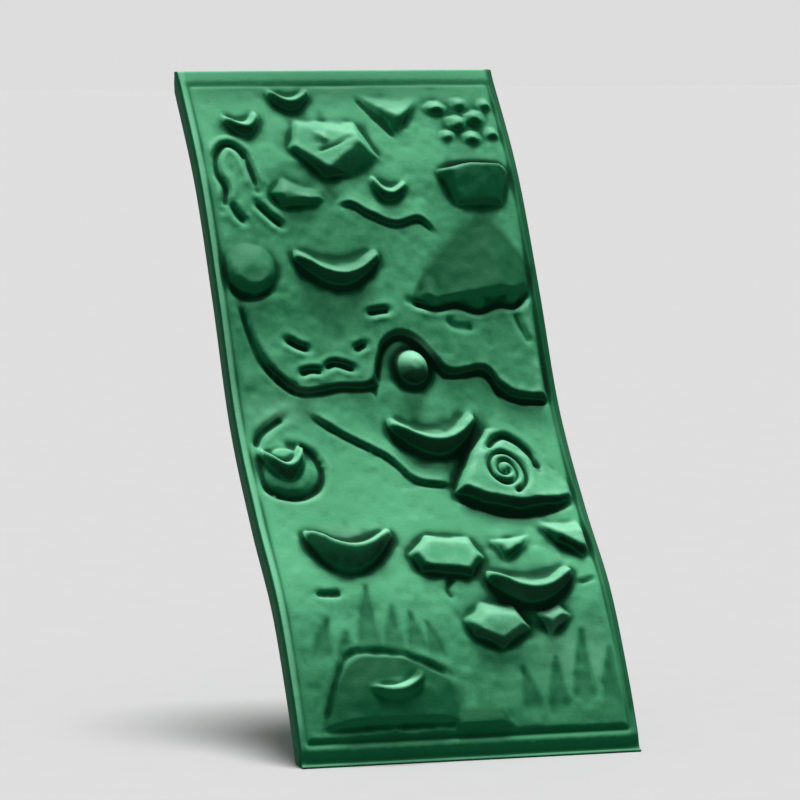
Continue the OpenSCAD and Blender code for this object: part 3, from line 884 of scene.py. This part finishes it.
def moulded_green():
    """Matt moulded polyethylene, with painted light: paler on faces turned up to the light and painted shade
    on faces turned away from it, in creases, under forms and near the floor.
    """
    n = new_material("moulded_green")
    black, dark, deep = srgb(1, 30, 15), srgb(5, 86, 50), srgb(14, 106, 66)
    body, pale = srgb(92, 184, 134), srgb(150, 224, 184)
    clouds, mottle, grain = n.noise(3.2, 3, 0.6), n.noise(38, 4, 0.6), n.noise(420, 3, 0.6)
    facing_light, crevice, shade, tone = (n.attribute(name) for name in ("facing_light", "crevice", "shade", "tone"))
    # painted light: how far each point faces the light, shifted a little by the mottle
    painted_light = n.math("ADD", facing_light, n.ramp(mottle, 0.3, 0.7, -0.06, 0.06))
    # painted shade: deep green on faces turned away from the light
    color = n.mix(n.ramp(painted_light, 0.10, 0.50), deep, body)
    for value, low, high, amount, other in (
            # painted shade, black on faces turned away from the light, and painted highlight, pale on faces
            # turned to it
            (painted_light, 0.16, -0.25, 1.0, black), (painted_light, 0.60, 0.95, 0.8, pale),
            (clouds, 0.4, 0.7, 0.25, deep), (grain, 0.55, 0.75, 0.2, deep),
            # painted shade above 0 and painted highlight below 0, from the relief's patches, rocks, holds
            # and sides
            (tone, 0.0, 1.0, 0.95, dark), (tone, 0.0, -1.0, 0.9, pale),
            # painted shade on the lowest 10 cm near the floor, and in creases and under forms
            (n.height(), 0.10, 0.0, 0.6, dark), (crevice, 0.06, 0.45, 0.85, dark),
            (crevice, 0.25, 0.95, 0.9, black), (shade, 0.15, 1.0, 0.5, black)):
        color = n.mix(n.ramp(value, low, high, 0.0, amount), color, other)
    # paler ridges: partly mottled wear, partly painted highlight, since only ridges turned to the light get
    # it
    wear_and_highlight = n.math("MULTIPLY", n.ramp(crevice, -0.15, -0.9), n.ramp(mottle, 0.35, 0.6, 0.25, 1.0))
    wear_and_highlight = n.math("MULTIPLY", wear_and_highlight, n.ramp(tone, 0.0, 0.8, 1.0, 0.1))
    color = n.mix(n.math("MULTIPLY", wear_and_highlight, n.ramp(facing_light, 0.1, 0.6, 0.0, 0.5)), color, pale)
    rough = n.math("MAXIMUM", n.ramp(mottle, 0.3, 0.7, 0.56, 0.70), n.ramp(crevice, 0.0, 0.4, 0.5, 0.95))
    cast = n.bump(n.noise(150, 3, 0.5), 0.0011, 0.55, Normal=n.bump(grain, 0.0005, 0.5))
    return n.finish(color, rough, specular=0.08, Normal=cast)


def plug_green():
    n = new_material("plug_green")
    clouds = n.noise(60, 3, 0.6)
    color = n.mix(n.ramp(clouds, 0.3, 0.7), srgb(28, 104, 68), srgb(40, 122, 82))
    grain = n.bump(n.noise(300, 2, 0.5), 0.0003, 0.3)
    return n.finish(color, n.ramp(clouds, 0.3, 0.7, 0.38, 0.5), Normal=grain)


def powder_coat(name, tint):
    """Coloured powder coat with a fine orange-peel."""
    n = new_material(name)
    color = n.mix(n.ramp(n.noise(14, 3, 0.6), 0.35, 0.7, 0.0, 0.5), tint, [1.35 * c + 0.004 for c in tint])
    rough = n.ramp(n.noise(60, 3, 0.6), 0.3, 0.7, 0.34, 0.50)
    return n.finish(color, rough, Normal=n.bump(n.noise(700, 2, 0.5), 0.00025, 0.5))


def metal(name, grain, low, high, smoothest, relief):
    """Bare metal with fine tool marks, between two colours."""
    n = new_material(name)
    marks = n.noise(*grain)
    return n.finish(n.mix(n.ramp(marks, 0.35, 0.65), low, high), n.ramp(marks, 0.3, 0.7, smoothest, 0.42),
                    metallic=1.0, Normal=n.bump(marks, 0.0001, relief))


BROWN = powder_coat("brown_powder_coat", srgb(66, 43, 33))
MATERIALS = {
    "moulded_green": moulded_green(),
    "plug_green": plug_green(),
    "brown_steel": BROWN,
    "brown_tube": BROWN,
    "stainless": metal("stainless_steel", (900, 2, 0.6, (1.0, 0.06, 1.0)),
                       srgb(168, 168, 164), srgb(205, 205, 200), 0.26, 0.4),
    "insert_brass": metal("insert_brass", (500, 2, 0.5), srgb(186, 150, 82), srgb(214, 182, 112), 0.28, 0.3),
}
SLOTS = {part["node"]: part["material_slot"] for part in frame["record"]["subparts"]}


def piece(name, mesh, node):
    """A visual piece on the wall's one body, which stands for a CAD node and has its material."""
    obj = link(name, mesh)
    mesh.materials.append(MATERIALS[SLOTS[node]])
    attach(obj, "root")
    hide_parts(node)


# ---------------------------------------------------------------- steelwork and fixings, in mm

LEG_WALL = 3.2
PLATE_T = 6.0
BASE_T = 10.0
WASHER_T = 2.0
BEND_OUTER = 8.0
BRACKET_DROP = 100.0
DECK_HOLE_EDGE = 30.0     # from the bracket's lower edge to its deck bolts
HOLE_R = 5.5
ANCHOR_R = 7.0
ANCHOR_HALF = (35, 57)
CHAMFER = 0.7
FIT = 0.1                 # how far a tube's cut end lies from the skin it is welded to


def cad_box(node):
    """The middle and the half size of a CAD node's box."""
    low, high = (np.array(corner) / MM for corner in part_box(node))
    return (low + high) / 2, (high - low) / 2


def side_matrix(x):
    """Local x runs out from the deck, local y up, and local z to the wall's left; placed at x across."""
    return Matrix(((0, 0, -1, x * MM), (-1, 0, 0, RUN / 2 * MM), (0, 1, 0, 0), (0, 0, 0, 1)))


def slope_matrix(x, spot, across=0.0, up=0.0):
    """Local x runs across, y up the slope at a spot, and z out through the climbing face."""
    normal, place = spot.normal, world(x, *spot.point)
    slope = Matrix(((1, 0, 0, place[0]), (0, normal[1], -normal[0], place[1]),
                    (0, normal[0], normal[1], place[2]), (0, 0, 0, 1)))
    return slope @ Matrix.Translation((across * MM, up * MM, 0))


class Shape(Parts):
    """Collects skins given in local millimetres and turns them into one piece."""

    def place(self, points, matrix=None):
        points = np.asarray(points, float) * MM
        if matrix is not None:
            m = np.array(matrix)
            points = points @ m[:3, :3].T + m[:3, 3]
        return self.add(points)

    def grid(self, rings, matrix=None, caps=True):
        """A skin over a list of closed rings with the same number of points."""
        ids = self.place(rings, matrix).reshape(np.shape(rings)[:2])
        self.quads(np.hstack([ids, ids[:, :1]]), flipped=True)
        if caps:
            self.faces += [ids[0][::-1].tolist(), ids[-1].tolist()]

    def to_piece(self, name, node, bevel=0.0):
        """Join its skins, soften its sharp edges by the bevel, and make it the piece for a CAD node."""
        mesh = bpy.data.meshes.new(name)
        mesh.from_pydata(np.vstack(self.points).tolist(), [], self.faces)
        bm = bmesh.new()
        bm.from_mesh(mesh)
        bmesh.ops.remove_doubles(bm, verts=bm.verts, dist=1e-6)
        bmesh.ops.delete(bm, geom=[v for v in bm.verts if not v.link_faces], context="VERTS")
        bmesh.ops.recalc_face_normals(bm, faces=bm.faces)
        if bevel:
            bmesh.ops.dissolve_limit(bm, angle_limit=math.radians(0.5), verts=bm.verts, edges=bm.edges)
            sharp = [e for e in bm.edges
                     if len(e.link_faces) == 2 and e.calc_face_angle() > math.radians(50)]
            bmesh.ops.bevel(bm, geom=sharp, offset=bevel * MM, segments=2, profile=0.5, affect="EDGES")
        bm.to_mesh(mesh)
        normals = [sum((f.normal * f.calc_area() for f in v.link_faces), Vector()).normalized()
                   for v in bm.verts]
        bm.free()
        mesh.shade_smooth()
        mesh.set_sharp_from_angle(angle=math.radians(35))
        if bevel:
            mesh.normals_split_custom_set_from_vertices(normals)
        piece(name, mesh, node)


def rounded(corners, r, n=5):
    """A polygon with each corner replaced by a short curve."""
    out = []
    for i, corner in enumerate(corners):
        p, a, b = (Vector(v) for v in (corner, corners[i - 1], corners[(i + 1) % len(corners)]))
        start, end = p + (a - p).normalized() * r, p + (b - p).normalized() * r
        out += [tuple((1 - t) ** 2 * start + 2 * t * (1 - t) * p + t * t * end)
                for t in np.linspace(0, 1, n)]
    return out


def drilled(half, corner_r, hole_at, hole_r):
    """The outline of a rectangular plate with rounded corners, and its four holes."""
    outline = rounded(rectangle(-half[0], half[0], -half[1], half[1]), corner_r)
    return [outline] + [circle(i * hole_at[0], j * hole_at[1], hole_r) for i in BOTH for j in BOTH]


def inside(loops, x, y):
    """Whether a point is inside the first loop and outside the others, which are holes in it."""
    hit = False
    for loop in loops:
        for (x0, y0), (x1, y1) in zip(loop, loop[1:] + loop[:1]):
            if (y0 > y) != (y1 > y) and x < x0 + (y - y0) * (x1 - x0) / (y1 - y0):
                hit = not hit
    return hit


def plate(shape, loops, low, high, matrix=None, bend=None, creases=()):
    """A plate cut to loops between two local heights; bend may map its points onto a folded form."""
    flat = Layout()
    for loop in loops:
        flat.loop(loop)
    for a, b in creases:
        flat.edges.append((flat.put(*a), flat.put(*b)))
    points, tris, _ = flat.fill()
    tris = [t for t in tris.tolist() if inside(loops, *points[t].mean(axis=0))]
    n = len(points)
    edges = {}
    for t in tris:
        for a, b in zip(t, t[1:] + t[:1]):
            if not edges.pop((b, a), False):
                edges[a, b] = True
    points = np.array([(x, y, z) for z in (high, low) for x, y in points])
    ids = shape.place(bend(points) if bend else points, matrix)
    faces = tris + [[i + n for i in t[::-1]] for t in tris] + [[b, a, a + n, b + n] for a, b in edges]
    shape.faces += [ids[face].tolist() for face in faces]


def bead(shape, path, radius, closed=False):
    """A weld bead: a rippled, slightly uneven cord along a path."""
    track = np.vstack([path, path[:1]]) if closed else path
    arc = arc_lengths(track)
    at = np.linspace(0, arc[-1], max(8, int(arc[-1] / 1.1)), endpoint=not closed)
    middle = sample(at, arc, track)
    along = unit(np.roll(middle, -1, 0) - np.roll(middle, 1, 0) if closed else np.gradient(middle, axis=0))
    u = unit(np.cross(along, (0.31, 0.22, 0.93)))
    v = np.cross(along, u)
    r = radius * (1 + 0.09 * np.sin(math.tau * at / 3.1) + 0.06 * np.sin(math.tau * at / 17.0))
    if not closed:
        r *= np.sqrt(np.clip(np.minimum(at, arc[-1] - at) / 3.5, 0.02, 1))
    turn = turns(8)[:, None]
    rings = middle[:, None] + r[:, None, None] * (np.cos(turn) * u[:, None] + np.sin(turn) * v[:, None])
    shape.grid(np.concatenate([rings, rings[:1]]) if closed else rings, caps=not closed)


def seam(shape, x, a, b):
    """A straight weld bead at x across, between two points of the side view."""
    bead(shape, world(x, *np.transpose([a, b])) / MM, 2.6)


def lathe(shape, outline, matrix, sides=48, form=lambda turn, r, z: r):
    """Spins a closed outline of (radius, z) round local z; form may change a ring's radii."""
    turn = turns(sides)
    rings = []
    for r, z in outline + outline[:1]:
        radii = form(turn, r, z)
        rings.append(np.stack(np.broadcast_arrays(radii * np.cos(turn), radii * np.sin(turn), z), axis=1))
    shape.grid(rings, matrix, caps=False)


SOCKET_R = 3.4


def socket(turn, r, z):
    """A hexagon where the outline is at the socket's radius."""
    step = math.tau / 6
    return r * math.cos(step / 2) / np.cos((turn % step) - step / 2) if r == SOCKET_R else r


def screw(shape, matrix):
    """Button head with a hexagon socket on a plain shank with a chamfered tip."""
    head = -PLATE_T - WASHER_T
    tip = head + 26
    lathe(shape, [(0.01, head - 2.5), (SOCKET_R, head - 2.5), (SOCKET_R, head - 5.3), (3.7, head - 5.5),
                  (5.4, head - 5.5), (6.6, head - 5.1), (7.7, head - 4.2), (8.5, head - 2.8),
                  (8.95, head - 1.3), (9.0, head - 0.4), (8.8, head), (5.0, head), (5.0, tip - 1.5),
                  (3.8, tip), (0.01, tip)], matrix, form=socket)


def washer(shape, matrix):
    low, high = -PLATE_T - WASHER_T, -PLATE_T
    lathe(shape, [(5.3, low + 0.2), (5.5, low), (10.1, low), (10.5, low + 0.4), (10.5, high - 0.2),
                  (10.3, high), (5.5, high), (5.3, high - 0.2)], matrix)


def knurl(turn, r, z):
    """Every second point of the two outer bands lies lower."""
    return r - (0.35 * (np.arange(len(turn)) % 2) if r > 7.9 and 2 < z < 17 else 0)


def insert(shape, matrix):
    """Brass bush with a plain collar and two knurled bands."""
    lathe(shape, [(5.0, 0.6), (5.4, 0.2), (7.8, 0.2), (7.9, 2.0), (8.0, 2.2), (8.0, 8.4), (7.2, 8.8),
                  (7.2, 10.2), (8.0, 10.6), (8.0, 16.8), (7.5, 17.8), (5.4, 17.8), (5.0, 17.4)],
          matrix, 64, knurl)


def fixings():
    screw_up = BRACKET_S - BEND_S - BRACKET_SCREW_RUN
    at_bracket = [slope_matrix(x, bracket_seat, up=screw_up) for x in SCREW_X]
    at_saddles = [slope_matrix(x, saddle_seat, i * SADDLE_SCREW[0], j * SADDLE_SCREW[1])
                  for x in LEG_X for i in BOTH for j in BOTH]
    for group, places in (("bracket", at_bracket), ("saddle", at_saddles)):
        for make, name, node in ((screw, "screws", "bolts"), (washer, "washer_set", "washers"),
                                 (insert, "insert_set", "inserts")):
            shape = Shape()
            for matrix in places:
                make(shape, matrix)
            shape.to_piece(f"{group}_{name}", f"{group}_{node}")


def vent_plug():
    """A snap-in plug: domed disc with a coin slot ring, and a barbed stem in the vent hole."""
    shape = Shape()
    lathe(shape, [(0.01, -2.2), (6.0, -2.2), (6.6, -3.3), (8.0, -3.5), (13.5, -3.3), (16.2, -2.2),
                  (17.0, -0.8), (16.9, -0.1), (11.8, -0.1), (11.6, 2.0), (11.9, 3.4), (11.4, 5.2),
                  (11.0, 5.6), (11.4, 6.4), (10.6, 8.0), (9.0, 8.0), (8.6, 1.0), (0.01, 1.0)],
          slope_matrix(VENT.x, VENT))
    shape.to_piece("vent_plug_cap", "vent_plug")


class Fold:
    """Maps the bracket's flat pattern (across, along, height) onto its folded form in world axes."""

    def __init__(self):
        self.corner = bracket_seat.point + (BEND_S - BRACKET_S) * bracket_seat.along
        self.turn = math.pi - math.atan2(bracket_seat.normal[1], bracket_seat.normal[0])
        self.tangent = BEND_OUTER * math.tan(self.turn / 2)
        # where the bend starts and ends along the flat pattern
        self.start = BRACKET_DROP - self.tangent
        self.end = self.start + BEND_OUTER * self.turn
        self.centre = np.array([BEND_OUTER, self.corner[1] - self.tangent])

    def incline(self, run):
        """Where a distance from the corner along the inclined leg falls in the flat pattern."""
        return self.end + run - self.tangent

    def __call__(self, points):
        x, v, deep = points[:, 0], points[:, 1], -points[:, 2]
        angle = math.pi - np.clip((v - self.start) / BEND_OUTER, 0, self.turn)
        radial = np.stack([np.cos(angle), np.sin(angle)], axis=1)
        place = self.centre + (BEND_OUTER - deep)[:, None] * radial
        place[:, 1] += np.minimum(v - self.start, 0)
        place += np.maximum(v - self.end, 0)[:, None] * bracket_seat.along
        return world(x, place[:, 0], place[:, 1]) / MM


def deck_bracket(fold):
    half, end = BRACKET_W / 2, fold.incline(BRACKET_REACH)
    rows = (DECK_HOLE_EDGE, fold.incline(BRACKET_SCREW_RUN))
    loops = [rounded(rectangle(-half, half, 0, end), 8)]
    loops += [circle(x, v, HOLE_R) for v in rows for x in SCREW_X]
    shape = Shape()
    plate(shape, loops, -PLATE_T, 0, bend=fold,
          creases=[((-half - 1, v), (half + 1, v)) for v in np.linspace(fold.start, fold.end, 11)])
    shape.to_piece("deck_bracket_plate", "deck_bracket", CHAMFER)


def bracket_gusset(fold, node, near=26, far=84):
    """A wedge stiffener, from near to far along both legs of the bracket, with its welds to them."""
    x = cad_box(node)[0][0]
    along = bracket_seat.along
    under = fold.corner - PLATE_T * bracket_seat.normal
    elbow = under + along * ((PLATE_T - under[0]) / along[0])
    slope = [elbow + run * along for run in (near, far)]
    upright = [np.array([PLATE_T, elbow[1] - run]) for run in (near, 0.9 * far)]
    shape = Shape()
    plate(shape, [rounded([*slope, *upright[::-1]], 2.0, 3)], -PLATE_T / 2, PLATE_T / 2, side_matrix(x))
    for flank in BOTH:
        for a, b in (slope, upright):
            seam(shape, x + flank * (PLATE_T / 2 + 0.6), a + 0.04 * (b - a), b - 0.04 * (b - a))
    shape.to_piece(node + "_welded", node)


class Leg:
    """One leg: its tube, base plate, foot stiffeners and saddle plate."""

    def __init__(self, side):
        self.side = side
        (self.x, self.y, _), (self.radius, _, _) = cad_box("leg_tube_" + side)

    def top(self, y):
        """How high the saddle's underside is, at a place in plan."""
        normal = saddle_seat.normal
        point = saddle_seat.point - (PLATE_T - FIT) * normal
        return point[1] - (RUN / 2 - y - point[0]) * normal[0] / normal[1]

    def ring(self, r, height=None, lift=0.0):
        """A ring of the tube, level or cut to the saddle."""
        x, y = self.x + r * np.cos(turns(64)), self.y + r * np.sin(turns(64))
        return np.stack(np.broadcast_arrays(x, y, self.top(y) + lift if height is None else height), axis=1)

    def tube(self):
        shape = Shape()
        r, inner = self.radius, self.radius - LEG_WALL
        shape.grid([self.ring(r, BASE_T), self.ring(r, BASE_T + 80), self.ring(r, 330), self.ring(r),
                    self.ring(inner), self.ring(inner, BASE_T), self.ring(r, BASE_T)], caps=False)
        bead(shape, self.ring(r + 1.2, lift=-1.2), 3.4, closed=True)
        bead(shape, self.ring(r + 1.2, BASE_T + 1.0), 3.4, closed=True)
        shape.to_piece(f"leg_tube_{self.side}_welded", f"leg_tube_{self.side}")

    def base(self):
        node = f"leg_base_{self.side}"
        shape = Shape()
        plate(shape, drilled(cad_box(node)[1], 7, ANCHOR_HALF, ANCHOR_R), 0, BASE_T,
              Matrix.Translation((self.x * MM, self.y * MM, 0)))
        shape.to_piece(node + "_plate", node, CHAMFER)

    def gussets(self, reach=66, toe=12, tall=70):
        """Two stiffeners with their welds: how far each reaches, its height at the toe, and at the tube."""
        shape = Shape()
        near = self.radius + 0.3
        for side in BOTH:
            at = lambda run, up: (RUN / 2 - self.y + side * run, BASE_T + up)
            corners = [at(near, 0), at(reach, 0), at(reach, toe), at(near, tall)]
            plate(shape, [corners[::side]], -PLATE_T / 2, PLATE_T / 2, side_matrix(self.x))
            for flank in BOTH:
                x = self.x + flank * (PLATE_T / 2 + 0.5)
                seam(shape, x, at(near + 3, 0.6), at(reach - 3, 0.6))
                seam(shape, x, at(near + 0.4, 3), at(near + 0.4, tall - 4))
        shape.to_piece(f"leg_gussets_{self.side}_welded", f"leg_gussets_{self.side}")

    def saddle(self):
        node = f"leg_saddle_{self.side}"
        shape = Shape()
        plate(shape, drilled(SADDLE_HALF, 9, SADDLE_SCREW, HOLE_R), -PLATE_T, 0,
              slope_matrix(self.x, saddle_seat))
        shape.to_piece(node + "_plate", node, CHAMFER)


def leg_brace(left, right):
    """The cross tube, its ends cut to the legs' curve and welded round."""
    (_, _, height), (_, _, outer) = cad_box("leg_brace")
    turn = turns(48)

    def ring(r, leg, grow=0.0):
        across, up = r * np.cos(turn), r * np.sin(turn)
        run = np.sqrt((leg.radius + FIT + grow) ** 2 - across ** 2)
        return np.stack([leg.x - math.copysign(1, leg.x) * run, leg.y + across, height + up], axis=1)

    inner = outer - LEG_WALL
    shape = Shape()
    shape.grid([ring(outer, left), ring(outer, right), ring(inner, right), ring(inner, left),
                ring(outer, left)], caps=False)
    for leg in (left, right):
        bead(shape, ring(outer + 1.0, leg, 1.2), 2.8, closed=True)
    shape.to_piece("leg_brace_welded", "leg_brace")


def steelwork():
    fold = Fold()
    deck_bracket(fold)
    for side in ("left", "middle", "right"):
        bracket_gusset(fold, "bracket_gusset_" + side)
    legs = [Leg("left"), Leg("right")]
    for leg in legs:
        leg.tube()
        leg.base()
        leg.gussets()
        leg.saddle()
    leg_brace(*legs)
    fixings()
    vent_plug()


PanelMesh().to_piece("moulded_panel", "climbing_panel")
steelwork()

# ---------------------------------------------------------------- studio


def aim(obj, direction):
    obj.rotation_mode = "QUATERNION"
    obj.rotation_quaternion = Vector(direction).to_track_quat("-Z", "Y")


def floor():
    mesh = bpy.data.meshes.new("studio_floor")
    mesh.from_pydata([(-60, -60, 0), (60, -60, 0), (60, 60, 0), (-60, 60, 0)], [], [(0, 1, 2, 3)])
    n = new_material("studio_floor")
    gray = n.mix(n.noise(8, 2, 0.5), (0.50, 0.50, 0.50), (0.52, 0.52, 0.52))
    mesh.materials.append(n.finish(gray, 0.8, specular=0.1))
    link("studio_floor", mesh)


def backdrop():
    """Bright near the horizon, dimmer overhead, like a studio sweep."""
    n = Nodes(bpy.data.worlds.new("studio"), "Generated")
    bpy.context.scene.world = n.owner
    strength = n.ramp(n.height(), 0.0, 0.30, 0.72, 0.24)
    n.feed(n.tree.nodes["Background"], {"Color": (1.0, 1.0, 1.0), "Strength": strength})


def overhead():
    """A very wide, soft light from far above."""
    data = bpy.data.lights.new("overhead", "SUN")
    data.energy = 3.9
    data.angle = math.radians(22)
    aim(link("overhead", data), (-0.10, -0.28, -1.0))


def camera():
    data = bpy.data.cameras.new("camera")
    data.lens = 205
    data.clip_end = 100
    obj = link("camera", data)
    obj.location = (-3.09, -10.20, 1.75)
    aim(obj, (CAD_LOW + CAD_HIGH) / 2 - obj.location)
    bpy.context.scene.camera = obj


floor()
backdrop()
overhead()
camera()
bpy.context.scene.view_settings.view_transform = "Standard"
